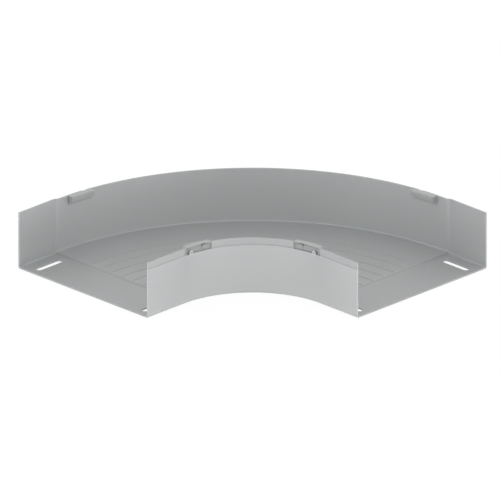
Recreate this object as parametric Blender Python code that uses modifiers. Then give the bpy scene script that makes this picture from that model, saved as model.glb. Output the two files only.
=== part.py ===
# Cable tray bend, 90 degrees, horizontal, for a tray 150 mm wide and 50 mm high.
#
# The bend lies flat, +Z up. Its arc has a vertical axis. One end faces -Y and
# is called end A, the other faces -X and is called end B. Both walls and the
# floor plate are pressed from sheet. Past each end of the arc the floor plate
# steps down and the outer wall steps out, so that the next tray slides in.
# Each wall has two notches in its rim, and a spring catch in each notch.
#
# Lengths are in metres. The origin is under the middle of the bend, on the
# plane that it rests on.

import math

import bmesh
import bpy
from mathutils import Matrix, Vector

MM = 0.001

# Driving dimensions: the tray that fits in the bend, and the bend itself
TRAY_WIDTH = 150.0 * MM
FIT_CLEARANCE = 0.45 * MM
SIDE_HEIGHT = 50.5 * MM
INNER_RADIUS = 81.0 * MM
END_LENGTH = 44.0 * MM
BEND_ANGLE = math.radians(90.0)
SHEET = 1.5 * MM
SEAT_GAP = 0.3 * MM

# Socket at each end: how far the outer wall steps out and the floor steps down
SOCKET_STEP_OUT = 2.0 * MM
SOCKET_STEP_LENGTH = 2.4 * MM
FLOOR_STEP_DOWN = SHEET + SEAT_GAP

# Bends, foot and grooved rim of the walls
FOLD_RADIUS = 1.5 * MM
FOOT_WIDTH = 12.0 * MM
RELIEF_PAST_FOLD = 0.2 * MM
RELIEF_PAST_STEP = 0.4 * MM
GROOVE_BELOW_RIM = 5.7 * MM
GROOVE_HEIGHT = 0.8 * MM
GROOVE_DEPTH = 0.5 * MM
FLOOR_LIP_RISE = 0.6 * MM

# Slots in the floor of each socket
SLOT_LENGTH = 29.5 * MM
SLOT_WIDTH = 6.5 * MM
SLOT_FROM_END = 20.8 * MM
SLOT_FROM_INNER_WALL = 10.8 * MM
SLOT_FROM_OUTER_WALL = 14.4 * MM

# Ribs pressed down along the arc of the floor
RIB_COUNT = 7
RIB_PITCH = 12.65 * MM
RIB_WIDTH = 1.4 * MM
RIB_DEPTH = 0.8 * MM
RIB_OFFSET = -1.95 * MM
RIB_END_SETBACK = 1.0 * MM
RIB_END_RAMP = 1.2 * MM

# Notches in the rims and the spring catches in them
NOTCH_LENGTH = 27.8 * MM
NOTCH_DEPTH = 6.2 * MM
OUTER_CATCH_FROM_TANGENT = 24.3 * MM
INNER_CATCH_FROM_TANGENT = 13.6 * MM
COVER_SHEET = 0.9 * MM
COVER_LENGTH = 24.8 * MM
INNER_COVER_SHIFT = -1.1 * MM
COVER_STAND_OFF = 3.4 * MM
COVER_LIP_DEPTH = 4.8 * MM
COVER_TOP_REACH = 2.2 * MM
COVER_TOP_BELOW_RIM = 0.2 * MM
COVER_FOLD = 0.9 * MM
CHEEK_RUN = 0.3 * MM
LEAF_SHEET = 0.6 * MM
LEAF_DEPTH = 9.4 * MM
LEAF_TOP_BELOW_RIM = 2.2 * MM
LEAF_PAST_COVER = 1.0 * MM
INNER_LEAF_SHORT_OF_COVER = 0.9 * MM
LEAF_SLIT_WIDTH = 1.2 * MM
LEAF_SLIT_BOTTOM = 5.4 * MM
LEAF_SLIT_FROM_MIDDLE = -5.5 * MM
EYELET_FROM_MIDDLE = 5.4 * MM
EYELET_BELOW_RIM = 4.5 * MM
EYELET_FLANGE_RADIUS = 1.4 * MM
EYELET_BARREL_RADIUS = 0.85 * MM
EYELET_BORE_RADIUS = 0.5 * MM
EYELET_FLANGE_SHEET = 0.4 * MM

# How finely the curves are divided, and how near two points are one
JOIN_DISTANCE = 0.002 * MM
ARC_STEPS = 36
STEP_DIVISIONS = 4
FOLD_DIVISIONS = 3
CATCH_DIVISIONS = 6
SLOT_ARC_STEPS = 8
ROUND_STEPS = 16

# Values worked out from those above
HALF_SHEET = SHEET / 2
SOCKET_WIDTH = TRAY_WIDTH + 2 * FIT_CLEARANCE
INNER_FACE = INNER_RADIUS
OUTER_FACE = INNER_RADIUS + SOCKET_WIDTH - SOCKET_STEP_OUT
INNER_MIDDLE = INNER_FACE - HALF_SHEET
OUTER_MIDDLE = OUTER_FACE + HALF_SHEET
SOCKET_OUTSIDE = OUTER_FACE + SOCKET_STEP_OUT + SHEET
FLOOR_INNER = INNER_FACE + SEAT_GAP + HALF_SHEET
FLOOR_OUTER = OUTER_FACE - SEAT_GAP - HALF_SHEET
FLOOR_LEVEL = HALF_SHEET + FLOOR_STEP_DOWN
WALL_FOLD_TOP = HALF_SHEET + FOLD_RADIUS
PLAN_CENTRE = (SOCKET_OUTSIDE - END_LENGTH) / 2


def clear_scene():
    for item in list(bpy.data.objects):
        bpy.data.objects.remove(item, do_unlink=True)
    for group in list(bpy.data.collections):
        bpy.data.collections.remove(group)


def new_collection(name):
    group = bpy.data.collections.new(name)
    bpy.context.scene.collection.children.link(group)
    return group


def zinc_material(name, colour, roughness, metallic):
    material = bpy.data.materials.new(name)
    material.use_nodes = True
    shader = material.node_tree.nodes["Principled BSDF"]
    shader.inputs["Base Color"].default_value = (*colour, 1.0)
    shader.inputs["Roughness"].default_value = roughness
    shader.inputs["Metallic"].default_value = metallic
    return material


def add_object(name, bm, group, material=None):
    mesh = bpy.data.meshes.new(name)
    bm.to_mesh(mesh)
    bm.free()
    item = bpy.data.objects.new(name, mesh)
    group.objects.link(item)
    if material:
        mesh.materials.append(material)
    return item


def quarter_fold(centre_r, centre_z, radius, start, end, divisions):
    """Points of a fold: an arc in the plane of the wall's section."""
    points = []
    for i in range(divisions + 1):
        angle = math.radians(start + (end - start) * i / divisions)
        points.append((centre_r + radius * math.cos(angle), centre_z + radius * math.sin(angle)))
    return points


def end_stations(past_end=0.0):
    """Distances from the arc's end to the end of the bend, through the step."""
    steps = [SOCKET_STEP_LENGTH * i / STEP_DIVISIONS for i in range(STEP_DIVISIONS + 1)]
    return steps + [END_LENGTH + past_end]


def extrude_edges(bm, edges, offset):
    made = bmesh.ops.extrude_edge_only(bm, edges=edges)["geom"]
    verts = [g for g in made if isinstance(g, bmesh.types.BMVert)]
    bmesh.ops.translate(bm, verts=verts, vec=offset)
    return [g for g in made if isinstance(g, bmesh.types.BMEdge) and all(v in verts for v in g.verts)]


def section_edges(bm, section, end_a):
    """The section as a wire at end A, standing on the line y = -end_a."""
    verts = [bm.verts.new((r, -end_a, z)) for r, z in section]
    return [bm.edges.new(pair) for pair in zip(verts, verts[1:])]


def sweep_straight(bm, edges, stations, direction):
    for near, far in zip(stations, stations[1:]):
        edges = extrude_edges(bm, edges, direction * abs(far - near))
    return edges


def sweep_arc(bm, edges, start, stop, steps):
    """Turn the wire about the bend's axis from the angle start to stop."""
    verts = {v for e in edges for v in e.verts}
    turn = Matrix.Rotation(start, 3, "Z")
    for v in verts:
        v.co = turn @ v.co
    swept = bmesh.ops.spin(
        bm, geom=list(verts) + edges, cent=(0, 0, 0), axis=(0, 0, 1),
        angle=stop - start, steps=steps, use_duplicate=False)
    return [g for g in swept["geom_last"] if isinstance(g, bmesh.types.BMEdge)]


def sweep_all(bm, section, past_end=0.0):
    """Sweep a section along end A, the arc and end B."""
    stations = end_stations(past_end)
    edges = section_edges(bm, section, stations[-1])
    edges = sweep_straight(bm, edges, stations[::-1], Vector((0, 1, 0)))
    edges = sweep_arc(bm, edges, 0.0, BEND_ANGLE, ARC_STEPS)
    sweep_straight(bm, edges, stations, Vector((-1, 0, 0)))


def sweep_ends(bm, section, stations):
    """Sweep a section along both straight ends, over the given stations."""
    edges = section_edges(bm, section, stations[-1])
    sweep_straight(bm, edges, stations[::-1], Vector((0, 1, 0)))
    edges = section_edges(bm, section, 0.0)
    turn = Matrix.Rotation(BEND_ANGLE, 3, "Z")
    for v in {v for e in edges for v in e.verts}:
        v.co = turn @ v.co + Vector((-stations[0], 0, 0))
    sweep_straight(bm, edges, stations, Vector((-1, 0, 0)))


def arc_part(bm, section):
    edges = section_edges(bm, section, 0.0)
    sweep_arc(bm, edges, 0.0, BEND_ANGLE, ARC_STEPS)


def end_distance(co):
    """How far a point lies past the arc, and the direction away from the axis."""
    if co.y < 0:
        return -co.y, Vector((1, 0, 0))
    if co.x < 0:
        return -co.x, Vector((0, 1, 0))
    return 0.0, Vector((0, 0, 0))


def step_share(distance):
    """Share of the socket's step at a distance past the arc, eased at both ends."""
    t = min(max(distance / SOCKET_STEP_LENGTH, 0.0), 1.0)
    return t * t * (3 - 2 * t)


def weld(bm):
    bmesh.ops.remove_doubles(bm, verts=bm.verts, dist=0.01 * MM)
    bm.normal_update()
    bmesh.ops.recalc_face_normals(bm, faces=bm.faces)


def to_plan(bm):
    """Move from the arc's axis to the part's origin."""
    bmesh.ops.translate(bm, verts=bm.verts, vec=(-PLAN_CENTRE, -PLAN_CENTRE, 0))


def add_sheet(item, thickness):
    solid = item.modifiers.new("sheet", "SOLIDIFY")
    solid.thickness = thickness
    solid.offset = 0.0
    solid.use_even_offset = True
    return solid


def add_cut(item, cutter):
    cut = item.modifiers.new("cut " + cutter.name, "BOOLEAN")
    cut.operation = "DIFFERENCE"
    cut.solver = "EXACT"
    cut.object = cutter
    cutter.hide_render = True
    cutter.display_type = "WIRE"


def add_joining(item):
    """Join the points that a cut leaves a hair apart, so that later cuts hold.

    The short facets of the inner wall need this, before and after its notches.
    """
    joining = item.modifiers.new("join points", "WELD")
    joining.merge_threshold = JOIN_DISTANCE


def wall_sections(middle, outward):
    """Sections of a wall's foot, fold and web, and of the groove in its outside.

    outward is +1 where the outside of the tray is away from the axis, and -1
    where it is towards the axis. The groove's is the middle of its cutter,
    which is two sheets thick.
    """
    foot = [(-FOOT_WIDTH, HALF_SHEET), (-FOLD_RADIUS, HALF_SHEET)]
    fold = quarter_fold(-FOLD_RADIUS, WALL_FOLD_TOP, FOLD_RADIUS, -90, 0, FOLD_DIVISIONS)
    web = [(0.0, WALL_FOLD_TOP), (0.0, SIDE_HEIGHT)]
    groove_n = HALF_SHEET - GROOVE_DEPTH + SHEET
    groove_middle = SIDE_HEIGHT - GROOVE_BELOW_RIM
    groove = [(groove_n, groove_middle + side * GROOVE_HEIGHT / 2) for side in (-1, 1)]
    sections = {"foot": foot, "fold": fold, "web": web, "groove": groove}
    return {
        name: [(middle + outward * n, z) for n, z in points] for name, points in sections.items()}


def step_wall_out(bm):
    for v in bm.verts:
        distance, away = end_distance(v.co)
        v.co += away * SOCKET_STEP_OUT * step_share(distance)


def build_wall(name, middle, outward, stepped, group, cutters, material):
    """A side wall: web, foot under the arc of the floor, and grooved rim.

    In the sockets the foot is cut off at its fold, because the floor plate
    lies at the same level there. A stepped wall moves out at each socket.
    """
    parts = wall_sections(middle, outward)
    bm = bmesh.new()
    sweep_all(bm, parts["web"])
    sweep_all(bm, parts["fold"])
    arc_part(bm, parts["foot"])
    weld(bm)
    groove_bm = bmesh.new()
    sweep_all(groove_bm, parts["groove"], past_end=SHEET)
    weld(groove_bm)
    for mesh in (bm, groove_bm):
        if stepped:
            step_wall_out(mesh)
        to_plan(mesh)
    wall = add_object(name, bm, group, material)
    add_sheet(wall, SHEET)
    groove = add_object("groove_" + name, groove_bm, cutters)
    add_sheet(groove, 2 * SHEET)
    add_cut(wall, groove)
    return wall


def rib_radii():
    middle = (INNER_FACE + OUTER_FACE) / 2 + RIB_OFFSET
    first = middle - RIB_PITCH * (RIB_COUNT - 1) / 2
    return [first + RIB_PITCH * i for i in range(RIB_COUNT)]


def floor_flat():
    """Section of the flat of the floor plate, with a point at each rib's edges
    and middle."""
    points = [(FLOOR_INNER + FOLD_RADIUS, FLOOR_LEVEL)]
    for radius in rib_radii():
        points += [(radius - RIB_WIDTH / 2, FLOOR_LEVEL), (radius, FLOOR_LEVEL)]
        points += [(radius + RIB_WIDTH / 2, FLOOR_LEVEL)]
    return points + [(FLOOR_OUTER - FOLD_RADIUS, FLOOR_LEVEL)]


def floor_lips():
    """Sections of the lips that the floor plate turns up beside the walls."""
    fold_level = FLOOR_LEVEL + FOLD_RADIUS
    inner = quarter_fold(FLOOR_INNER + FOLD_RADIUS, fold_level, FOLD_RADIUS, 270, 180, FOLD_DIVISIONS)
    outer = quarter_fold(FLOOR_OUTER - FOLD_RADIUS, fold_level, FOLD_RADIUS, 270, 360, FOLD_DIVISIONS)
    lip_top = fold_level + FLOOR_LIP_RISE
    return inner + [(FLOOR_INNER, lip_top)], outer + [(FLOOR_OUTER, lip_top)]


def floor_borders():
    """Sections of the flat borders that take the place of the lips in a socket."""
    inner = [(FLOOR_INNER + FOLD_RADIUS, FLOOR_LEVEL), (FLOOR_INNER, FLOOR_LEVEL)]
    outer = [(FLOOR_OUTER - FOLD_RADIUS, FLOOR_LEVEL), (FLOOR_OUTER, FLOOR_LEVEL)]
    return inner, outer


def press_ribs(bm):
    """Push the middle line of each rib down, between the ramps at its ends."""
    for v in bm.verts:
        if v.co.x < 0 or v.co.y < 0:
            continue
        radius = v.co.xy.length
        if min(abs(radius - rib) for rib in rib_radii()) > RIB_WIDTH / 4:
            continue
        past_setback = min(v.co.x, v.co.y) - RIB_END_SETBACK
        v.co.z -= RIB_DEPTH * min(max(past_setback / RIB_END_RAMP, 0.0), 1.0)


def press_sockets(bm):
    """Step the floor down at both ends and widen it to the stepped wall."""
    for v in bm.verts:
        distance, away = end_distance(v.co)
        share = step_share(distance)
        reach = (v.co.dot(away) - FLOOR_INNER) / (FLOOR_OUTER - FLOOR_INNER)
        v.co += away * SOCKET_STEP_OUT * share * reach
        v.co.z -= FLOOR_STEP_DOWN * share


def build_floor(group, material):
    bm = bmesh.new()
    sweep_all(bm, floor_flat())
    for lip in floor_lips():
        arc_part(bm, lip)
    for border in floor_borders():
        sweep_ends(bm, border, end_stations())
    weld(bm)
    press_ribs(bm)
    press_sockets(bm)
    to_plan(bm)
    floor = add_object("floor_plate", bm, group, material)
    add_sheet(floor, SHEET)
    return floor


def cut_reliefs(floor, cutters):
    """Relief notches in the floor's edges, where lip, border and step meet."""
    reach = HALF_SHEET + SHEET + SOCKET_STEP_OUT
    inner = (FLOOR_INNER - reach, FLOOR_INNER + FOLD_RADIUS + RELIEF_PAST_FOLD)
    outer = (FLOOR_OUTER - FOLD_RADIUS - RELIEF_PAST_FOLD, FLOOR_OUTER + reach)
    along = (-SOCKET_STEP_LENGTH - RELIEF_PAST_STEP, RELIEF_PAST_STEP)
    height = (-SHEET, FLOOR_LEVEL + 2 * FOLD_RADIUS + SHEET)
    for side, across in (("inner", inner), ("outer", outer)):
        for end, spans in (("a", (across, along, height)), ("b", (along, across, height))):
            bm = bmesh.new()
            bmesh.ops.create_cube(bm, size=1.0)
            bmesh.ops.scale(bm, verts=bm.verts, vec=[high - low for low, high in spans])
            bmesh.ops.translate(bm, verts=bm.verts, vec=[(high + low) / 2 for low, high in spans])
            to_plan(bm)
            add_cut(floor, add_object("relief_%s_%s" % (side, end), bm, cutters))


def slot_outline():
    """A slot with round ends, its length along X."""
    run = (SLOT_LENGTH - SLOT_WIDTH) / 2
    points = []
    for side in (1, -1):
        for i in range(SLOT_ARC_STEPS + 1):
            angle = math.radians(-90 + 180 * i / SLOT_ARC_STEPS)
            x = side * (run + SLOT_WIDTH / 2 * math.cos(angle))
            y = side * SLOT_WIDTH / 2 * math.sin(angle)
            points.append((x, y))
    return points


def flat_solid(name, outline, thickness, group):
    """An outline in the XY plane, filled and given a thickness, as a mesh."""
    curve = bpy.data.curves.new(name, "CURVE")
    curve.dimensions = "2D"
    curve.fill_mode = "BOTH"
    curve.extrude = thickness / 2
    spline = curve.splines.new("POLY")
    spline.points.add(len(outline) - 1)
    for point, (x, y) in zip(spline.points, outline):
        point.co = (x, y, 0, 1)
    spline.use_cyclic_u = True
    source = bpy.data.objects.new(name + "_outline", curve)
    bpy.context.scene.collection.objects.link(source)
    bpy.context.view_layer.update()
    evaluated = source.evaluated_get(bpy.context.evaluated_depsgraph_get())
    mesh = bpy.data.meshes.new_from_object(evaluated)
    bm = bmesh.new()
    bm.from_mesh(mesh)
    weld(bm)
    bm.to_mesh(mesh)
    bm.free()
    item = bpy.data.objects.new(name, mesh)
    group.objects.link(item)
    bpy.data.objects.remove(source, do_unlink=True)
    return item


def cut_slots(floor, cutters):
    """Two slots in each socket's floor, one beside each wall."""
    near = INNER_FACE + SLOT_FROM_INNER_WALL - PLAN_CENTRE
    far = OUTER_FACE + SOCKET_STEP_OUT - SLOT_FROM_OUTER_WALL - PLAN_CENTRE
    along = SLOT_FROM_END - END_LENGTH - PLAN_CENTRE
    for side, across in (("inner", near), ("outer", far)):
        for end in ("a", "b"):
            cutter = flat_solid("slot_%s_%s" % (side, end), slot_outline(), 6 * SHEET, cutters)
            if end == "a":
                cutter.location = (across, along, HALF_SHEET)
                cutter.rotation_euler = (0, 0, math.radians(90))
            else:
                cutter.location = (along, across, HALF_SHEET)
            add_cut(floor, cutter)


class CatchPlace:
    """Where a catch stands: on which wall, near which end.

    In its own terms x runs along the wall towards the near end, n is the
    distance outside the tray from the wall's inner face, and z is the height
    above the rim.
    """

    def __init__(self, outer, end):
        self.outer = outer
        self.end = end
        self.face = OUTER_FACE if outer else INNER_FACE
        self.from_tangent = OUTER_CATCH_FROM_TANGENT if outer else INNER_CATCH_FROM_TANGENT
        shift = 0.0 if outer else INNER_COVER_SHIFT
        self.cover_span = (shift - COVER_LENGTH / 2, shift + COVER_LENGTH / 2)
        past_near_end = LEAF_PAST_COVER if outer else -INNER_LEAF_SHORT_OF_COVER
        self.leaf_span = (self.cover_span[0] - LEAF_PAST_COVER, self.cover_span[1] + past_near_end)
        self.name = "%s_%s" % ("outer" if outer else "inner", end)

    def point(self, x, n, z):
        radius = self.face + n if self.outer else self.face - n
        along = self.from_tangent - x
        if along >= 0:
            angle = along / self.face
            spot = Vector((radius * math.cos(angle), radius * math.sin(angle)))
        else:
            spot = Vector((radius, along))
        if self.end == "b":
            spot = spot.yx
        return Vector((spot.x - PLAN_CENTRE, spot.y - PLAN_CENTRE, SIDE_HEIGHT + z))

    def outward(self, x):
        return (self.point(x, MM, 0) - self.point(x, 0, 0)).normalized()


def bend_to_wall(bm, place):
    for v in bm.verts:
        v.co = place.point(*v.co)
    bm.normal_update()
    bmesh.ops.recalc_face_normals(bm, faces=bm.faces)


def bent_block(x_span, n_span, z_span, place, divisions=CATCH_DIVISIONS):
    """A block given in the catch's own terms, bent to follow the wall."""
    bm = bmesh.new()
    bmesh.ops.create_cube(bm, size=1.0)
    size = [high - low for low, high in (x_span, n_span, z_span)]
    middle = [(high + low) / 2 for low, high in (x_span, n_span, z_span)]
    bmesh.ops.scale(bm, verts=bm.verts, vec=size)
    bmesh.ops.translate(bm, verts=bm.verts, vec=middle)
    for i in range(1, divisions):
        x = x_span[0] + (x_span[1] - x_span[0]) * i / divisions
        bmesh.ops.bisect_plane(
            bm, geom=bm.verts[:] + bm.edges[:] + bm.faces[:], plane_co=(x, 0, 0), plane_no=(1, 0, 0))
    bend_to_wall(bm, place)
    return bm


def cut_notch(wall, place, cutters):
    """The notch in the rim that the catch stands in."""
    half = NOTCH_LENGTH / 2
    bm = bent_block((-half, half), (-SHEET, 2 * SHEET), (-NOTCH_DEPTH, SHEET), place)
    cutter = add_object("notch_" + place.name, bm, cutters)
    add_cut(wall, cutter)


def build_cover(place, group, material):
    """The catch's cover: a lip inside the tray, a top over the notch, and a
    cheek that reaches back to the leaf at the near end."""
    start, stop = place.cover_span
    cheek_n = -SEAT_GAP - LEAF_SHEET - SEAT_GAP
    lip_n = -COVER_STAND_OFF
    top_z = -COVER_TOP_BELOW_RIM - COVER_SHEET / 2
    fold_z = top_z - COVER_FOLD
    section = [(lip_n, -COVER_LIP_DEPTH)]
    section += quarter_fold(lip_n + COVER_FOLD, fold_z, COVER_FOLD, 180, 90, FOLD_DIVISIONS)
    section += [(COVER_TOP_REACH - COVER_SHEET / 2, top_z)]
    bm = bmesh.new()
    verts = [bm.verts.new((start, n, z)) for n, z in section]
    edges = [bm.edges.new(pair) for pair in zip(verts, verts[1:])]
    for i in range(CATCH_DIVISIONS):
        edges = extrude_edges(bm, edges, Vector((COVER_LENGTH / CATCH_DIVISIONS, 0, 0)))
    verts = [bm.verts.new((stop, lip_n, z)) for z in (-COVER_LIP_DEPTH, fold_z)]
    edges = [bm.edges.new(verts)]
    extrude_edges(bm, edges, Vector((CHEEK_RUN, cheek_n - lip_n, 0)))
    weld(bm)
    bend_to_wall(bm, place)
    cover = add_object("catch_cover_" + place.name, bm, group, material)
    add_sheet(cover, COVER_SHEET)


def build_leaf(place, group, cutters, material):
    """The spring leaf behind the notch, slit in two, with the eyelet's hole."""
    inner_n = -SEAT_GAP - LEAF_SHEET
    height = (-LEAF_DEPTH, -LEAF_TOP_BELOW_RIM)
    bm = bent_block(place.leaf_span, (inner_n, -SEAT_GAP), height, place)
    leaf = add_object("catch_leaf_" + place.name, bm, group, material)
    slit = [LEAF_SLIT_FROM_MIDDLE + side * LEAF_SLIT_WIDTH / 2 for side in (-1, 1)]
    bm = bent_block(
        slit, (inner_n - SHEET, SHEET), (-LEAF_SLIT_BOTTOM, 0.0), place, divisions=1)
    add_cut(leaf, add_object("slit_" + place.name, bm, cutters))
    bm = bmesh.new()
    bmesh.ops.create_cone(
        bm, cap_ends=True, segments=ROUND_STEPS, radius1=EYELET_BARREL_RADIUS + SEAT_GAP,
        radius2=EYELET_BARREL_RADIUS + SEAT_GAP, depth=8 * LEAF_SHEET)
    hole = add_object("leaf_hole_" + place.name, bm, cutters)
    place_on_wall(hole, place, inner_n)
    add_cut(leaf, hole)


def place_on_wall(item, place, n):
    """Stand an object that was turned about Z square to the wall, at the eyelet."""
    item.location = place.point(EYELET_FROM_MIDDLE, n, -EYELET_BELOW_RIM)
    turn = place.outward(EYELET_FROM_MIDDLE).to_track_quat("Z", "Y")
    item.rotation_mode = "QUATERNION"
    item.rotation_quaternion = turn


def build_eyelet(place, group, material):
    """A turned eyelet: a barrel through the leaf with a flange on each side."""
    back = -LEAF_SHEET - SEAT_GAP
    front = SEAT_GAP
    rim = EYELET_FLANGE_SHEET
    profile = [
        (EYELET_BORE_RADIUS, front + rim), (EYELET_FLANGE_RADIUS, front + rim),
        (EYELET_FLANGE_RADIUS, front), (EYELET_BARREL_RADIUS, front),
        (EYELET_BARREL_RADIUS, back), (EYELET_FLANGE_RADIUS, back),
        (EYELET_FLANGE_RADIUS, back - rim), (EYELET_BORE_RADIUS, back - rim)]
    bm = bmesh.new()
    verts = [bm.verts.new((r, 0, z)) for r, z in profile]
    for pair in zip(verts, verts[1:] + verts[:1]):
        bm.edges.new(pair)
    eyelet = add_object("catch_eyelet_" + place.name, bm, group, material)
    turn = eyelet.modifiers.new("turned", "SCREW")
    turn.steps = ROUND_STEPS
    turn.render_steps = ROUND_STEPS
    turn.use_merge_vertices = True
    turn.merge_threshold = 0.01 * MM
    place_on_wall(eyelet, place, -SEAT_GAP)


def build():
    clear_scene()
    parts = new_collection("cable_tray_bend")
    cutters = new_collection("cutters")
    zinc = {
        name: zinc_material(name, colour, roughness, metallic)
        for name, colour, roughness, metallic in (
            ("floor_zinc", (0.62, 0.64, 0.65), 0.45, 0.6),
            ("outer_wall_zinc", (0.63, 0.65, 0.66), 0.45, 0.6),
            ("inner_wall_zinc", (0.66, 0.68, 0.69), 0.42, 0.6),
            ("cover_zinc", (0.60, 0.62, 0.63), 0.40, 0.7),
            ("spring_steel", (0.45, 0.46, 0.47), 0.35, 0.8),
            ("eyelet_zinc", (0.75, 0.76, 0.77), 0.30, 0.8))}
    floor = build_floor(parts, zinc["floor_zinc"])
    cut_slots(floor, cutters)
    cut_reliefs(floor, cutters)
    outer = build_wall(
        "outer_wall", OUTER_MIDDLE, 1, True, parts, cutters, zinc["outer_wall_zinc"])
    inner = build_wall(
        "inner_wall", INNER_MIDDLE, -1, False, parts, cutters, zinc["inner_wall_zinc"])
    add_joining(inner)
    for wall, is_outer in ((outer, True), (inner, False)):
        for end in ("a", "b"):
            place = CatchPlace(is_outer, end)
            cut_notch(wall, place, cutters)
            build_cover(place, parts, zinc["cover_zinc"])
            build_leaf(place, parts, cutters, zinc["spring_steel"])
            build_eyelet(place, parts, zinc["eyelet_zinc"])
    add_joining(inner)


build()
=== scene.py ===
# The looks of a cable tray bend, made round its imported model.
#
# Walls, floor, covers and leaves are made flat, as the sheet is before it is
# bent: X along the wall from the middle of the turn, Y out of the tray from
# the face inside it, Z up. One Geometry Nodes tree then lays them round the
# turn. Every surface is a satin zinc coating, drawn by nodes. Lengths are in
# metres.

import math

import bmesh
import bpy
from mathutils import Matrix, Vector


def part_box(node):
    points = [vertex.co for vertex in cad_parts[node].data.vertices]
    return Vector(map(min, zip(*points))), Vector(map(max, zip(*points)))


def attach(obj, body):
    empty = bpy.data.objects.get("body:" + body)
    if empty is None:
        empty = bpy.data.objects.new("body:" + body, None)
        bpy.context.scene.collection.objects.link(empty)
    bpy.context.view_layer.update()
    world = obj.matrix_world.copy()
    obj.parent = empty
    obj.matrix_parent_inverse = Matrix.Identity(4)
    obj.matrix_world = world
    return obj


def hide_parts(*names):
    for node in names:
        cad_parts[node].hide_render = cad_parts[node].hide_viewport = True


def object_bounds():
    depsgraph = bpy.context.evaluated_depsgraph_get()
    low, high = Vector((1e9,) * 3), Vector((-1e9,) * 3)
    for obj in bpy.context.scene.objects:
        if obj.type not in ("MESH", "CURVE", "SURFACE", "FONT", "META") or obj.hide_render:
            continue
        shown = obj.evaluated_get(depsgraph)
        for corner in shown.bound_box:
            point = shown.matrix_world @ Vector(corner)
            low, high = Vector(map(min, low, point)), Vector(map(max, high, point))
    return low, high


MM = 0.001

# The photograph's view: a parallel projection, from the inside of the turn
FRAME_PIXELS = 500
PIXELS_PER_METRE = 1195.0
CAMERA_ELEVATION = math.radians(22.70)
CAMERA_BEARING = math.radians(45.0)
AXIS_PIXEL = (252.54, 329.97)
VIEW_LEVEL = 25.0 * MM
CAMERA_DISTANCE = 2.0
NEAREST_SEEN = 0.01
FURTHEST_SEEN = 20.0

# The sheet and the socket at each end, as on the solids. The steps are
# smooth here, so their lengths are those of the whole curve.
SHEET = 1.5 * MM
END_LENGTH = 44.0 * MM
STEP_OUT = 2.0 * MM
STEP_LENGTH = 4.2 * MM
STEP_LEAD = 1.6 * MM
STEP_DOWN = 1.8 * MM
DROP_PAST_ARC = 0.1 * MM
DROP_LENGTH = 4.4 * MM
FOLD_INSIDE = 0.75 * MM
FOOT_WIDTH = 10.5 * MM
GROOVE_BELOW_RIM = 6.0 * MM
GROOVE_HEIGHT = 0.9 * MM
GROOVE_DEPTH = 0.5 * MM

# The floor: ribs, slots, and the fillets between it and the walls
FLOOR_CLEARANCE = 0.05 * MM
FLOOR_TOP = STEP_DOWN + SHEET
RIB_COUNT = 7
RIB_PITCH = 12.65 * MM
RIB_WIDTH = 1.5 * MM
RIB_DEPTH = 0.65 * MM
RIB_OFFSET = -1.95 * MM
RIB_PAST_ARC = 1.6 * MM
RIB_RAMP = 1.2 * MM
FILLET = 0.7 * MM
SLOT_LENGTH = 29.5 * MM
SLOT_WIDTH = 5.9 * MM
SLOT_FROM_END = 20.8 * MM
SLOT_FROM_INNER_WALL = 10.8 * MM
SLOT_FROM_OUTER_WALL = 14.4 * MM

# Notches and catches. Along a wall, places are measured from the notch's
# middle towards the near end of the bend.
NOTCH_LENGTH = 27.8 * MM
NOTCH_DEPTH = 6.9 * MM
OUTER_CATCH_FROM_TANGENT = 24.3 * MM
INNER_CATCH_FROM_TANGENT = 13.6 * MM
COVER_SHEET = 0.9 * MM
COVER_LENGTH = 24.8 * MM
INNER_COVER_SHIFT = -1.1 * MM
COVER_BACK = 4.3 * MM
COVER_FRONT = 1.75 * MM
COVER_DROP = 0.05 * MM
LIP_DEPTH = 4.9 * MM
COVER_FOLD = 1.0 * MM
COVER_NOTCH = 4.0 * MM
CHEEK_PAST_COVER = 0.02 * MM
LEAF_SHEET = 0.6 * MM
LEAF_GAP = 0.12 * MM
LEAF_TOP = 2.2 * MM
LEAF_DEPTH = 8.4 * MM
LEAF_PAST_COVER = 0.2 * MM
LEAF_SHORT_OF_CHEEK = 0.9 * MM
SLIT_WIDTH = 1.2 * MM
SLIT_DEPTH = 5.4 * MM
SLIT_PLACE = -5.5 * MM

# The eyelets: along the wall, out of the tray, and below the rim
OUTER_EYELET = (5.4 * MM, 1.0 * MM, 4.5 * MM)
INNER_EYELET = (7.3 * MM, 1.9 * MM, 5.8 * MM)
EYELET_RADIUS = 2.0 * MM
EYELET_BORE = 0.75 * MM
EYELET_FLATNESS = 0.6
STEM_RADIUS = 1.0 * MM
STEM_RECESS = 1.0 * MM

# How finely the pieces are divided, and how much their edges are softened
ARC_STEPS = 60
STEP_STEPS = 14
FOLD_STEPS = 6
ROUND_STEPS = 32
CATCH_STEPS = 12
EDGE_SOFTENING = 0.12 * MM
EDGE_SEGMENTS = 2
FLAT_FACE_WEIGHT = 90
CREASE = math.radians(40.0)
CORNER = math.radians(75.0)

# The studio's light: even from above, and brighter low down all round. The
# glow has its plain strength at PLAIN_GLOW_AT, more further to a side, and
# less straight ahead.
SKY = 0.79
HORIZON_GLOW = 3.3
HORIZON_BAND = 0.25
GLOW_TO_THE_RIGHT = 0.12
GLOW_TO_THE_SIDES = 1.5
PLAIN_GLOW_AT = 0.6
WHITE = 1.06

# The studio's floor, just below the part
STUDIO_SIZE = 3.0
STUDIO_DROP = 0.3 * MM
STUDIO_GREY = 0.92
STUDIO_ROUGHNESS = 0.9
STUDIO_GLOW = 0.85

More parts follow.
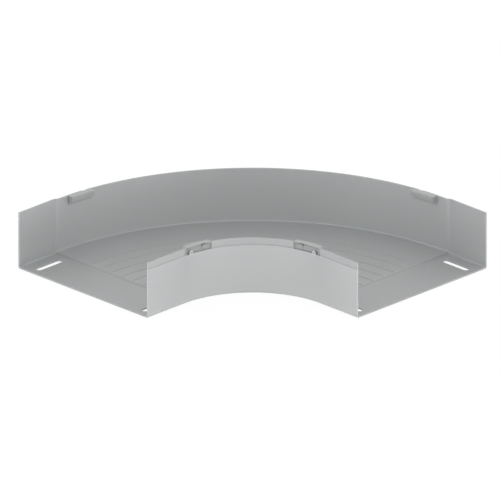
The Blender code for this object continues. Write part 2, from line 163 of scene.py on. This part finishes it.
# The zinc coating: its clouds and its grain
ZINC = (0.513, 0.524, 0.527)
COAT_SPREAD = 0.03
NOISE_MEAN = 0.5
CLOUD_SCALE = 26.0
CLOUD_DETAIL = 3.0
CLOUD_TINT = 0.9
CLOUD_ROUGHNESS = 0.12
CLOUD_HEIGHT = 0.5
GRAIN_SCALE = 1900.0
GRAIN_DETAIL = 2.0
GRAIN_TINT = 0.5
GRAIN_ROUGHNESS = 0.1
BUMP_STRENGTH = 0.05
BUMP_DISTANCE = 0.1 * MM

# How light, rough and metallic the coating is on each piece
# Painted shade: the outer wall is made darker, for the shade inside the channel.
OUTER_WALL_SHADE = 0.965
# Painted light: the inner wall is made lighter, for the light on its open face.
INNER_WALL_LIGHT = 1.03
FLOOR_TONE = 1.0
COVER_TONE = 0.98
# Partly painted shade: the leaves' dark grey is partly the spring steel's own and partly
# the shade under the covers.
LEAF_TONE_AND_SHADE = 0.75
EYELET_TONE = 1.25
SATIN = 0.5
LEAF_ROUGHNESS = 0.45
EYELET_ROUGHNESS = 0.35
SHEET_METAL = 0.5
CATCH_METAL = 0.3
EYELET_METAL = 0.2

# Painted shade: on the rim's band, for the shade on its hem, and on what slopes,
# for the shade in ribs and steps and on the covers' lips. Slopes are told by the
# upright share of their normal: nothing changes above LEVEL, and below STEEP
# they have the full painted shade.
# Painted shade on the band above the groove.
BAND_SHADE = 0.89
# Painted shade on steep slopes, at its fullest.
STEEP_SHADE = 0.80
LEVEL = 0.97
STEEP = 0.86

# Where a node that mixes colours has its two inputs and its output
MIX_LOW, MIX_HIGH, MIX_RESULT = 6, 7, 2

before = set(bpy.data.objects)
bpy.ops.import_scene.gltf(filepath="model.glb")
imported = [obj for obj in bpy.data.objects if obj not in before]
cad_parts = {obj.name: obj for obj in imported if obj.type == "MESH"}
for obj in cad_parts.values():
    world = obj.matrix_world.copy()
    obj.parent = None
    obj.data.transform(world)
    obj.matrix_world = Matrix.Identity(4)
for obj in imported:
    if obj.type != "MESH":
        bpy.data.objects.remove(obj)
cad_low, cad_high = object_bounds()
TURN_AXIS = Vector((cad_low.x + END_LENGTH, cad_low.y + END_LENGTH, 0.0))
RIM = cad_high.z
INNER_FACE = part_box("inner_wall")[1].x - TURN_AXIS.x - FOOT_WIDTH - FOLD_INSIDE
OUTER_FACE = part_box("outer_wall")[1].x - TURN_AXIS.x - SHEET - STEP_OUT
TURN = math.radians(90.0)


class Value:
    """A socket of a node tree, for arithmetic written as plain expressions."""

    def __init__(self, tree, socket):
        self.tree = tree
        self.socket = socket

    def math(self, operation, *others, swap=False):
        node = self.tree.nodes.new("ShaderNodeMath")
        node.operation = operation
        values = [self, *others]
        if swap:
            values.reverse()
        for socket, value in zip(node.inputs, values):
            if isinstance(value, Value):
                self.tree.links.new(value.socket, socket)
            else:
                socket.default_value = value
        return Value(self.tree, node.outputs[0])

    def __add__(self, other):
        return self.math("ADD", other)

    def __radd__(self, other):
        return self.math("ADD", other, swap=True)

    def __sub__(self, other):
        return self.math("SUBTRACT", other)

    def __rsub__(self, other):
        return self.math("SUBTRACT", other, swap=True)

    def __mul__(self, other):
        return self.math("MULTIPLY", other)

    def __rmul__(self, other):
        return self.math("MULTIPLY", other, swap=True)

    def __truediv__(self, other):
        return self.math("DIVIDE", other)

    def __neg__(self):
        return self.math("MULTIPLY", -1.0)

    def __abs__(self):
        return self.math("ABSOLUTE")

    def smaller(self, other):
        return self.math("MINIMUM", other)

    def larger(self, other):
        return self.math("MAXIMUM", other)

    def above(self, limit):
        return self.math("GREATER_THAN", limit)

    def sine(self):
        return self.math("SINE")

    def cosine(self):
        return self.math("COSINE")


class Tree:
    """A node tree, with one method that adds any node."""

    def __init__(self, tree):
        self.tree = tree

    def node(self, kind, settings=None, **inputs):
        """Add a node. In the names of its inputs, _ stands for a space.

        A last _ stands for nothing, as in False_, which is a word of the language.
        """
        node = self.tree.nodes.new(kind)
        for key, value in (settings or {}).items():
            setattr(node, key, value)
        for key, value in inputs.items():
            self.feed(node.inputs[key.replace("_", " ").strip()], value)
        return node

    def feed(self, socket, value):
        if isinstance(value, Value):
            self.tree.links.new(value.socket, socket)
        elif isinstance(value, bpy.types.NodeSocket):
            self.tree.links.new(value, socket)
        else:
            socket.default_value = value

    def value(self, socket):
        return Value(self.tree, socket)

    def parts(self, vector):
        split = self.node("ShaderNodeSeparateXYZ", Vector=vector)
        return [self.value(socket) for socket in split.outputs]


class Surface(Tree):
    """A material's node tree."""

    def __init__(self, name):
        self.material = bpy.data.materials.new(name)
        self.material.use_nodes = True
        super().__init__(self.material.node_tree)
        self.shader = self.tree.nodes["Principled BSDF"]
        self.output = self.tree.nodes["Material Output"]

    def set(self, name, value):
        self.feed(self.shader.inputs[name], value)

    def place(self):
        return self.node("ShaderNodeTexCoord").outputs["Object"]

    def noise(self, scale, detail):
        found = self.node(
            "ShaderNodeTexNoise", Vector=self.place(), Scale=scale, Detail=detail)
        return self.value(found.outputs["Fac"])

    def blend(self, share, low, high):
        mix = self.node("ShaderNodeMix", {"data_type": "RGBA"}, Factor=share)
        self.feed(mix.inputs[MIX_LOW], (*low, 1.0))
        self.feed(mix.inputs[MIX_HIGH], (*high, 1.0))
        return mix.outputs[MIX_RESULT]

    def scaled(self, colour, share):
        scale = self.node("ShaderNodeVectorMath", {"operation": "SCALE"}, Scale=share)
        self.feed(scale.inputs[0], colour)
        return scale.outputs[0]


class Shape(Tree):
    """A Geometry Nodes tree with named inputs."""

    def __init__(self, name):
        super().__init__(bpy.data.node_groups.new(name, "GeometryNodeTree"))
        self.tree.is_modifier = True
        self.source = self.tree.nodes.new("NodeGroupInput")
        self.declare("Geometry", "NodeSocketGeometry")
        self.declare("Geometry", "NodeSocketGeometry", "OUTPUT")
        self.flat = self.source.outputs["Geometry"]

    def declare(self, name, kind="NodeSocketFloat", way="INPUT"):
        self.tree.interface.new_socket(name, in_out=way, socket_type=kind)

    def given(self, name):
        return self.value(self.source.outputs[name])

    def finish(self, geometry, material):
        """Shade smooth but for the creases, and give out one plain mesh."""
        turned = self.value(self.node("GeometryNodeInputMeshEdgeAngle").outputs[0])
        smooth = self.node("GeometryNodeSetShadeSmooth", Geometry=geometry)
        creased = self.node(
            "GeometryNodeSetShadeSmooth", {"domain": "EDGE"},
            Geometry=smooth.outputs[0], Selection=turned.above(CREASE),
            Shade_Smooth=False)
        real = self.node("GeometryNodeRealizeInstances", Geometry=creased.outputs[0])
        coated = self.node(
            "GeometryNodeSetMaterial", Geometry=real.outputs[0], Material=material)
        output = self.tree.nodes.new("NodeGroupOutput")
        self.feed(output.inputs[0], coated.outputs[0])
        return self.tree


def eased(share):
    """From 0 to 1, with a gentle start and end."""
    share = share.smaller(1.0).larger(0.0)
    return share * share * (3.0 - 2.0 * share)


def round_the_turn():
    """Lay flat pieces round the turn, and step them out and down in the sockets."""
    shape = Shape("round the turn")
    for name in ("Radius", "Outward", "Width", "Out At Face", "Out At Width", "Down"):
        shape.declare(name)
    shape.declare("Both Ends", "NodeSocketBool")
    shape.declare("Material", "NodeSocketMaterial")
    mirrored = shape.node(
        "GeometryNodeTransform", Geometry=shape.flat, Scale=(-1.0, 1.0, 1.0))
    turned = shape.node("GeometryNodeFlipFaces", Mesh=mirrored.outputs[0])
    pair = shape.node("GeometryNodeJoinGeometry")
    for part in (turned.outputs[0], shape.flat):
        shape.feed(pair.inputs[0], part)
    chosen = shape.node(
        "GeometryNodeSwitch", {"input_type": "GEOMETRY"},
        Switch=shape.given("Both Ends"), False_=shape.flat, True_=pair.outputs[0])
    along, out, height = shape.parts(shape.node("GeometryNodeInputPosition").outputs[0])
    radius = shape.given("Radius")
    half_arc = radius * (TURN / 2)
    on_arc = along.smaller(half_arc).larger(-half_arc)
    past = along - on_arc
    angle = on_arc / radius + TURN / 2
    share = eased((abs(along) - half_arc + STEP_LEAD) / STEP_LENGTH)
    drop = eased((abs(along) - half_arc - DROP_PAST_ARC) / DROP_LENGTH)
    far = out / shape.given("Width")
    step_out = shape.given("Out At Face") * (1.0 - far) + shape.given("Out At Width") * far
    reach = radius + shape.given("Outward") * out + share * step_out
    x = angle.cosine() * reach - angle.sine() * past + TURN_AXIS.x
    y = angle.sine() * reach + angle.cosine() * past + TURN_AXIS.y
    z = height - drop * shape.given("Down")
    place = shape.node("ShaderNodeCombineXYZ", X=x, Y=y, Z=z)
    laid = shape.node(
        "GeometryNodeSetPosition", Geometry=chosen.outputs[0], Position=place.outputs[0])
    right_way = shape.node(
        "GeometryNodeFlipFaces", Mesh=laid.outputs[0], Selection=shape.given("Outward"))
    return shape.finish(right_way.outputs[0], shape.given("Material"))


def turned_ring():
    """A turned eyelet at each point: its outline, swept round a circle."""
    shape = Shape("turned eyelet")
    shape.declare("Material", "NodeSocketMaterial")
    circle = shape.node(
        "GeometryNodeCurvePrimitiveCircle", Resolution=ROUND_STEPS,
        Radius=(EYELET_RADIUS + EYELET_BORE) / 2)
    flange = shape.node(
        "GeometryNodeCurvePrimitiveCircle", Resolution=ROUND_STEPS // 2,
        Radius=(EYELET_RADIUS - EYELET_BORE) / 2)
    ring = shape.node(
        "GeometryNodeCurveToMesh", Curve=circle.outputs[0], Profile_Curve=flange.outputs[0])
    upright = shape.node(
        "GeometryNodeTransform", Geometry=ring.outputs[0],
        Rotation=(math.radians(90.0), 0.0, 0.0), Scale=(1.0, 1.0, EYELET_FLATNESS))
    on_wall = shape.node(
        "GeometryNodeInstanceOnPoints", Points=shape.flat, Instance=upright.outputs[0])
    return shape.finish(on_wall.outputs[0], shape.given("Material"))


def apply_tree(item, tree, **values):
    """Run the tree on the object by the names of its inputs."""
    modifier = item.modifiers.new(tree.name, "NODES")
    modifier.node_group = tree
    for socket in tree.interface.items_tree:
        key = socket.name.replace(" ", "_")
        if socket.in_out == "INPUT" and key in values:
            modifier[socket.identifier] = values[key]


def new_object(name, bm):
    """An object made from the mesh, with its faces turned outwards."""
    bmesh.ops.recalc_face_normals(bm, faces=bm.faces)
    mesh = bpy.data.meshes.new(name)
    bm.to_mesh(mesh)
    bm.free()
    item = bpy.data.objects.new(name, mesh)
    bpy.context.scene.collection.objects.link(item)
    return item


def mesh_of(item):
    """A mesh to add to, started from the object's."""
    bm = bmesh.new()
    bm.from_mesh(item.data)
    return bm


def give_back(item, bm):
    """Put the mesh in place of the object's."""
    bm.to_mesh(item.data)
    bm.free()


def soften(item):
    """Round the cut edges, and keep the faces beside them flat."""
    bevel = item.modifiers.new("soft edges", "BEVEL")
    bevel.width = EDGE_SOFTENING
    bevel.segments = EDGE_SEGMENTS
    bevel.limit_method = "ANGLE"
    bevel.angle_limit = CORNER
    normals = item.modifiers.new("flat faces", "WEIGHTED_NORMAL")
    normals.weight = FLAT_FACE_WEIGHT
    normals.keep_sharp = True


def to_plain_mesh(item):
    """Swap the object's modifiers for the mesh that they make."""
    bpy.context.view_layer.update()
    evaluated = item.evaluated_get(bpy.context.evaluated_depsgraph_get())
    mesh = bpy.data.meshes.new_from_object(evaluated)
    item.modifiers.clear()
    item.data = mesh
    return item


def hand_over(item, nodes):
    """Say what the piece rides on, and the solids it shows."""
    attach(item, "root")
    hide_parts(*nodes)


def cut(item, cutter_bm):
    """Cut a mesh out of the piece, and remove the cutter.

    A cutter reaches past the faces that it opens, so none of its own lies in them.
    """
    cutter = new_object(item.name + "_cutter", cutter_bm)
    boolean = item.modifiers.new("cut", "BOOLEAN")
    boolean.operation = "DIFFERENCE"
    boolean.solver = "EXACT"
    boolean.object = cutter
    to_plain_mesh(item)
    bpy.data.objects.remove(cutter, do_unlink=True)


def spread(start, stop, steps):
    return [start + (stop - start) * i / steps for i in range(steps + 1)]


def arc(centre, radius, start, stop, steps=FOLD_STEPS):
    """Points of an arc in a plane, from one angle in degrees to another."""
    points = []
    for angle in spread(math.radians(start), math.radians(stop), steps):
        across, up = radius * math.cos(angle), radius * math.sin(angle)
        points.append((centre[0] + across, centre[1] + up))
    return points


def loft(bm, rings):
    """A closed bar through rings, all with the same number of points."""
    rings = [[bm.verts.new(point) for point in ring] for ring in rings]
    for near, far in zip(rings, rings[1:]):
        for i in range(len(near)):
            bm.faces.new((near[i - 1], near[i], far[i], far[i - 1]))
    bm.faces.new(rings[0])
    bm.faces.new(rings[-1][::-1])


def bar(bm, outline, places):
    """A bar along X, with the same outline of (out, height) points at each place."""
    loft(bm, [[(s, *point) for point in outline] for s in places])


def block(bm, along, out, height, steps=1):
    """A box, each way from the first of two values to the second."""
    (near, far), (low, high) = out, height
    outline = [(near, low), (far, low), (far, high), (near, high)]
    bar(bm, outline, spread(*along, steps))


def end_to_end(radius):
    """Places from end to end of a piece, closer together in the steps."""
    half_arc = radius * TURN / 2
    step_start = half_arc - STEP_LEAD
    step_end = half_arc + DROP_PAST_ARC + DROP_LENGTH
    side = spread(step_start, step_end, STEP_STEPS) + [half_arc + END_LENGTH]
    middle = spread(-step_start, step_start, ARC_STEPS)[1:-1]
    return [-s for s in reversed(side)] + middle + side


def wall_outline():
    """Section of a wall: fold, web and groove, with the face inside the tray at 0."""
    centre = (-FOLD_INSIDE, SHEET + FOLD_INSIDE)
    groove = RIM - GROOVE_BELOW_RIM
    low, high = groove - GROOVE_HEIGHT / 2, groove + GROOVE_HEIGHT / 2
    bottom = SHEET - GROOVE_DEPTH
    points = [(-FOLD_INSIDE, 0.0)]
    points += arc(centre, SHEET + FOLD_INSIDE, -90, 0)[1:]
    points += [(SHEET, low), (bottom, low), (bottom, high), (SHEET, high)]
    points += [(SHEET, RIM), (0.0, RIM)]
    points += arc(centre, FOLD_INSIDE, 0, -90)
    return points


def make_wall(name, radius, outward, step_out, catch_from_tangent, notch, tree, material):
    """A wall with two notches, each given by its start, its stop and its depth."""
    bm = bmesh.new()
    bar(bm, wall_outline(), end_to_end(radius))
    wall = new_object(name + "_sheet", bm)
    half_arc = radius * TURN / 2
    middle = half_arc - catch_from_tangent
    start, stop, depth = notch
    bm = bmesh.new()
    for side in (-1, 1):
        span = sorted((side * (middle + start), side * (middle + stop)))
        block(bm, span, (-SHEET, 2 * SHEET), (RIM - depth, RIM + SHEET))
    cut(wall, bm)
    bm = mesh_of(wall)
    foot = (-FOLD_INSIDE - FOOT_WIDTH, -FOLD_INSIDE)
    block(bm, (-half_arc, half_arc), foot, (0.0, SHEET), ARC_STEPS)
    give_back(wall, bm)
    apply_tree(
        wall, tree, Radius=radius, Outward=outward, Width=1.0,
        Out_At_Face=step_out, Out_At_Width=step_out, Material=material)
    soften(wall)
    hand_over(to_plain_mesh(wall), [name])


def rib_places():
    """How far each rib lies from the inner wall."""
    middle = (OUTER_FACE - INNER_FACE) / 2 + RIB_OFFSET
    return [middle + RIB_PITCH * (i - (RIB_COUNT - 1) / 2) for i in range(RIB_COUNT)]


def slots():
    """Cutters for the four slots, upright bars with round ends."""
    bm = bmesh.new()
    middle = SLOT_FROM_END - END_LENGTH
    run = (SLOT_LENGTH - SLOT_WIDTH) / 2
    near = INNER_FACE + SLOT_FROM_INNER_WALL
    far = OUTER_FACE + STEP_OUT - SLOT_FROM_OUTER_WALL
    heights = (-SHEET, FLOOR_TOP + SHEET)
    for across in (near, far):
        end_b = arc((middle + run, across), SLOT_WIDTH / 2, -90, 90, ROUND_STEPS // 2)
        end_b += arc((middle - run, across), SLOT_WIDTH / 2, 90, 270, ROUND_STEPS // 2)
        end_a = [point[::-1] for point in end_b]
        for ring in (end_a, end_b):
            loft(bm, [[TURN_AXIS + Vector((*point, z)) for point in ring] for z in heights])
    return bm


def lay_floor(name, bm, radius, width, tree, material):
    """Lay a flat piece of the floor, its far edge stepped out with the outer wall."""
    item = new_object(name, bm)
    apply_tree(
        item, tree, Radius=radius, Outward=1.0, Width=width, Down=STEP_DOWN,
        Out_At_Face=0.0, Out_At_Width=STEP_OUT, Material=material)
    return to_plain_mesh(item)


def make_floor_plate(tree, material, edge_material):
    """The floor, pressed in one sheet, with a fillet along each wall.

    The fillets have a material of their own, the second of the piece.
    """
    radius = INNER_FACE + FLOOR_CLEARANCE
    width = OUTER_FACE - INNER_FACE - 2 * FLOOR_CLEARANCE
    rib_end = radius * TURN / 2 + RIB_PAST_ARC
    fold_radius = SHEET + FOLD_INSIDE
    ribs = rib_places()

    def outline_at(s):
        depth = RIB_DEPTH * min(max((rib_end - abs(s)) / RIB_RAMP, 0.0), 1.0)
        drops = [(fold_radius, 0.0)]
        for rib in ribs:
            start, stop = rib - RIB_WIDTH / 2, rib + RIB_WIDTH / 2
            drops += [(start, 0.0), (rib, depth), (stop, 0.0)]
        drops += [(width - fold_radius, 0.0)]
        top = [(out, FLOOR_TOP - drop) for out, drop in drops]
        return top + [(out, height - SHEET) for out, height in reversed(top)]

    bm = bmesh.new()
    ramp = [rib_end - RIB_RAMP, rib_end]
    rows = sorted(end_to_end(radius) + ramp + [-s for s in ramp])
    loft(bm, [[(s, *point) for point in outline_at(s)] for s in rows])
    plate = lay_floor("floor_sheet", bm, radius, width, tree, material)
    cut(plate, slots())
    bottom = FLOOR_TOP - SHEET
    near = [(0.0, bottom), (fold_radius, bottom), (fold_radius, FLOOR_TOP)]
    near += [(FILLET, FLOOR_TOP), (0.0, FLOOR_TOP + FILLET)]
    far = [(width - out, height) for out, height in reversed(near)]
    bm = bmesh.new()
    for outline in (near, far):
        bar(bm, outline, rows)
    edges = lay_floor("floor_edges", bm, radius, width, tree, edge_material)
    bm = mesh_of(edges)
    for face in bm.faces:
        face.material_index = 1
    bm.from_mesh(plate.data)
    give_back(plate, bm)
    plate.data.materials.append(edge_material)
    bpy.data.objects.remove(edges, do_unlink=True)
    soften(plate)
    hand_over(to_plain_mesh(plate), ["floor_plate"])


def cover_outline():
    """Section of a cover: top, fold and lip, as a sheet."""
    top = RIM - COVER_DROP
    lip = RIM - LIP_DEPTH
    centre = (-COVER_BACK + COVER_FOLD, top - COVER_FOLD)
    points = [(COVER_FRONT, top)] + arc(centre, COVER_FOLD, 90, 180)
    points += [(-COVER_BACK, lip), (-COVER_BACK + COVER_SHEET, lip)]
    points += arc(centre, COVER_FOLD - COVER_SHEET, 180, 90)
    return points + [(COVER_FRONT, top - COVER_SHEET)]


class Catches:
    """The two catches of one wall: where they stand, and their flat pieces.

    The shift is that of the covers from the notch's middle, and leaf_past says
    how far the leaf goes past its cover at the near end of the bend.
    """

    def __init__(self, side, radius, outward, from_tangent, shift, leaf_past, eyelet, tree):
        self.side = side
        self.radius = radius
        self.outward = outward
        self.tree = tree
        middle = radius * TURN / 2 - from_tangent
        self.start = middle + shift - COVER_LENGTH / 2
        self.stop = middle + shift + COVER_LENGTH / 2
        self.slit = middle + SLIT_PLACE
        self.leaf = (self.start - LEAF_PAST_COVER, self.stop + leaf_past)
        self.eyelet = (middle + eyelet[0], eyelet[1], RIM - eyelet[2])

    def lay(self, item, kind, material):
        """Lay a flat piece at both ends of the wall, and hand over the pair."""
        apply_tree(
            item, self.tree, Radius=self.radius, Outward=self.outward, Width=1.0,
            Both_Ends=True, Material=material)
        soften(item)
        nodes = ["catch_%s_%s_%s" % (kind, self.side, end) for end in "ab"]
        hand_over(to_plain_mesh(item), nodes)

    def make_covers(self, material):
        """Covers, notched in front, with a cheek at the near end."""
        bm = bmesh.new()
        bar(bm, cover_outline(), spread(self.start, self.stop, CATCH_STEPS))
        covers = new_object("covers_" + self.side, bm)
        bm = bmesh.new()
        notch = (self.slit - COVER_NOTCH / 2, self.slit + COVER_NOTCH / 2)
        front = (COVER_FRONT - COVER_SHEET, 2 * SHEET)
        block(bm, notch, front, (RIM - 2 * SHEET, RIM + SHEET))
        cut(covers, bm)
        bm = mesh_of(covers)
        cheek = (self.stop - COVER_SHEET, self.stop + CHEEK_PAST_COVER)
        height = (RIM - LIP_DEPTH, RIM - COVER_DROP - COVER_SHEET / 2)
        block(bm, cheek, (-COVER_BACK + COVER_SHEET / 2, 0.0), height)
        give_back(covers, bm)
        self.lay(covers, "cover", material)

    def make_leaves(self, material):
        """Spring leaves with a slit, and the stem of the eyelet."""
        bm = bmesh.new()
        out = (-LEAF_GAP - LEAF_SHEET, -LEAF_GAP)
        block(bm, self.leaf, out, (RIM - LEAF_DEPTH, RIM - LEAF_TOP), CATCH_STEPS)
        leaves = new_object("leaves_" + self.side, bm)
        bm = bmesh.new()
        slit = (self.slit - SLIT_WIDTH / 2, self.slit + SLIT_WIDTH / 2)
        block(bm, slit, (-SHEET, SHEET), (RIM - SLIT_DEPTH, RIM))
        cut(leaves, bm)
        bm = mesh_of(leaves)
        self.add_stem(bm)
        give_back(leaves, bm)
        self.lay(leaves, "leaf", material)

    def add_stem(self, bm):
        """The round stem that stands from the leaf in the eyelet's bore."""
        place, front, height = self.eyelet
        circle = arc((place, height), STEM_RADIUS, 0, 360, ROUND_STEPS)[:-1]
        ends = (-LEAF_GAP, front - STEM_RECESS)
        loft(bm, [[(along, out, up) for along, up in circle] for out in ends])
        bmesh.ops.recalc_face_normals(bm, faces=bm.faces)

    def make_eyelets(self, ring, material):
        """Eyelets, turned at a single point and then laid as the rest is."""
        bm = bmesh.new()
        bm.verts.new(self.eyelet)
        eyelets = new_object("eyelets_" + self.side, bm)
        apply_tree(eyelets, ring, Material=material)
        to_plain_mesh(eyelets)
        self.lay(eyelets, "eyelet", material)


def painted_band_shade(surface):
    """Painted shade above the groove, for the shade on the rim's hem."""
    height = surface.parts(surface.place())[2]
    return 1.0 - height.above(RIM - GROOVE_BELOW_RIM) * (1.0 - BAND_SHADE)


def painted_slope_shade(surface):
    """Painted shade where the sheet slopes steeply, for the shade in ribs and steps and on
    the covers' lips; it darkens cut edges too.
    """
    upright = abs(surface.parts(surface.node("ShaderNodeNewGeometry").outputs["Normal"])[2])
    steep = ((LEVEL - upright) / (LEVEL - STEEP)).larger(0.0).smaller(1.0)
    return 1.0 - steep * (1.0 - STEEP_SHADE)


def zinc(name, tone, roughness, metallic, painted_shade_by_place=None):
    """Satin zinc on rolled sheet: soft clouds and a fine grain, times any painted shade
    given by place.
    """
    surface = Surface(name)
    clouds = surface.noise(CLOUD_SCALE, CLOUD_DETAIL)
    grain = surface.noise(GRAIN_SCALE, GRAIN_DETAIL)
    cloudy, grainy = clouds - NOISE_MEAN, grain - NOISE_MEAN
    low = [c * tone * (1 - COAT_SPREAD) for c in ZINC]
    high = [c * tone * (1 + COAT_SPREAD) for c in ZINC]
    share = cloudy * CLOUD_TINT + grainy * GRAIN_TINT + NOISE_MEAN
    coat = surface.blend(share, low, high)
    # Painted shade: the coat is scaled by the given function of place.
    if painted_shade_by_place is not None:
        coat = surface.scaled(coat, painted_shade_by_place(surface))
    surface.set("Base Color", coat)
    rough = roughness + cloudy * CLOUD_ROUGHNESS + grainy * GRAIN_ROUGHNESS
    surface.set("Roughness", rough)
    surface.set("Metallic", metallic)
    bump = surface.node(
        "ShaderNodeBump", Strength=BUMP_STRENGTH, Distance=BUMP_DISTANCE,
        Height=grain + clouds * CLOUD_HEIGHT)
    surface.set("Normal", bump.outputs["Normal"])
    return surface.material


def make_camera():
    """The photograph's camera, so placed that the turn's axis meets its pixel."""
    across = (FRAME_PIXELS / 2 - AXIS_PIXEL[0]) / PIXELS_PER_METRE
    rise = (AXIS_PIXEL[1] - FRAME_PIXELS / 2) / PIXELS_PER_METRE
    away = (rise - VIEW_LEVEL * math.cos(CAMERA_ELEVATION)) / math.sin(CAMERA_ELEVATION)
    up = Vector((0.0, 0.0, 1.0))
    forward = Vector((math.sin(CAMERA_BEARING), math.cos(CAMERA_BEARING), 0.0))
    right = Vector((forward.y, -forward.x, 0.0))
    target = TURN_AXIS + forward * away + right * across + up * VIEW_LEVEL
    look = forward * math.cos(CAMERA_ELEVATION) - up * math.sin(CAMERA_ELEVATION)
    data = bpy.data.cameras.new("camera")
    data.type = "ORTHO"
    data.ortho_scale = FRAME_PIXELS / PIXELS_PER_METRE
    data.clip_start = NEAREST_SEEN
    data.clip_end = FURTHEST_SEEN
    camera = bpy.data.objects.new("camera", data)
    bpy.context.scene.collection.objects.link(camera)
    camera.location = target - look * CAMERA_DISTANCE
    camera.rotation_mode = "QUATERNION"
    camera.rotation_quaternion = look.to_track_quat("-Z", "Y")
    bpy.context.scene.camera = camera


def make_stage():
    """A white floor: white to the camera, with the part's soft shadow on it."""
    bm = bmesh.new()
    bmesh.ops.create_grid(bm, x_segments=1, y_segments=1, size=STUDIO_SIZE)
    stage = new_object("studio_floor", bm)
    stage.location.z = -STUDIO_DROP
    surface = Surface("studio_floor")
    surface.set("Base Color", (STUDIO_GREY, STUDIO_GREY, STUDIO_GREY, 1.0))
    surface.set("Roughness", STUDIO_ROUGHNESS)
    surface.set("Specular IOR Level", 0.0)
    ray = surface.node("ShaderNodeLightPath")
    seen = surface.value(ray.outputs["Is Camera Ray"])
    seen = seen.larger(surface.value(ray.outputs["Is Glossy Ray"]))
    glow = surface.node("ShaderNodeEmission", Color=(1, 1, 1, 1), Strength=WHITE)
    mix = surface.node("ShaderNodeMixShader", Fac=seen * STUDIO_GLOW)
    for socket, shader in zip(mix.inputs[1:], (surface.shader, glow)):
        surface.feed(socket, shader.outputs[0])
    surface.feed(surface.output.inputs["Surface"], mix.outputs[0])
    stage.data.materials.append(surface.material)


def make_light():
    """The light of the studio, and plain white where the camera looks past the floor."""
    world = bpy.data.worlds.new("studio")
    world.use_nodes = True
    sky = Tree(world.node_tree)
    direction = sky.node("ShaderNodeTexCoord").outputs["Generated"]
    x, y, z = sky.parts(direction)
    right = x * math.cos(CAMERA_BEARING) - y * math.sin(CAMERA_BEARING)
    low = (1.0 - abs(z) / HORIZON_BAND).larger(0.0)
    sides = (abs(right) - PLAIN_GLOW_AT) * GLOW_TO_THE_SIDES + right * GLOW_TO_THE_RIGHT
    light = low * (sides + 1.0) * HORIZON_GLOW + SKY
    seen = sky.value(sky.node("ShaderNodeLightPath").outputs["Is Camera Ray"])
    background = world.node_tree.nodes["Background"]
    sky.feed(background.inputs["Color"], (1.0, 1.0, 1.0, 1.0))
    sky.feed(background.inputs["Strength"], light + (WHITE - light) * seen)
    bpy.context.scene.world = world


turn_tree = round_the_turn()
ring_tree = turned_ring()
# The two walls get lit and shaded copies of one zinc: painted light and painted shade.
wall_zinc = zinc("wall_zinc", OUTER_WALL_SHADE, SATIN, SHEET_METAL)
lit_inner_zinc_with_band_shade = zinc("inner_wall_zinc", INNER_WALL_LIGHT, SATIN, SHEET_METAL, painted_band_shade)
edge_zinc = zinc("floor_edge_zinc", FLOOR_TONE, SATIN, SHEET_METAL)
# The floor and the covers get painted shade on their slopes.
floor_zinc = zinc("floor_zinc", FLOOR_TONE, SATIN, SHEET_METAL, painted_slope_shade)
cover_zinc_with_slope_shade = zinc("catch_cover", COVER_TONE, SATIN, CATCH_METAL, painted_slope_shade)
# The leaves' dark grey: spring steel's own colour, and painted shade under the covers.
leaf_steel_and_shade = zinc("spring_leaf", LEAF_TONE_AND_SHADE, LEAF_ROUGHNESS, CATCH_METAL)
eyelet_zinc = zinc("eyelet", EYELET_TONE, EYELET_ROUGHNESS, EYELET_METAL)
covered = (-COVER_LENGTH / 2, COVER_LENGTH / 2, LIP_DEPTH)
open_notch = (-NOTCH_LENGTH / 2, NOTCH_LENGTH / 2, NOTCH_DEPTH)
make_wall(
    "outer_wall", OUTER_FACE, 1.0, STEP_OUT, OUTER_CATCH_FROM_TANGENT, covered,
    turn_tree, wall_zinc)
make_wall(
    "inner_wall", INNER_FACE, -1.0, 0.0, INNER_CATCH_FROM_TANGENT, open_notch,
    turn_tree, lit_inner_zinc_with_band_shade)
make_floor_plate(turn_tree, floor_zinc, edge_zinc)
outer_catches = Catches(
    "outer", OUTER_FACE, 1.0, OUTER_CATCH_FROM_TANGENT, 0.0, LEAF_PAST_COVER,
    OUTER_EYELET, turn_tree)
inner_catches = Catches(
    "inner", INNER_FACE, -1.0, INNER_CATCH_FROM_TANGENT, INNER_COVER_SHIFT,
    -LEAF_SHORT_OF_CHEEK, INNER_EYELET, turn_tree)
for catches in (outer_catches, inner_catches):
    catches.make_covers(cover_zinc_with_slope_shade)
    catches.make_leaves(leaf_steel_and_shade)
    catches.make_eyelets(ring_tree, eyelet_zinc)
make_camera()
make_stage()
make_light()
bpy.context.scene.view_settings.view_transform = "Standard"
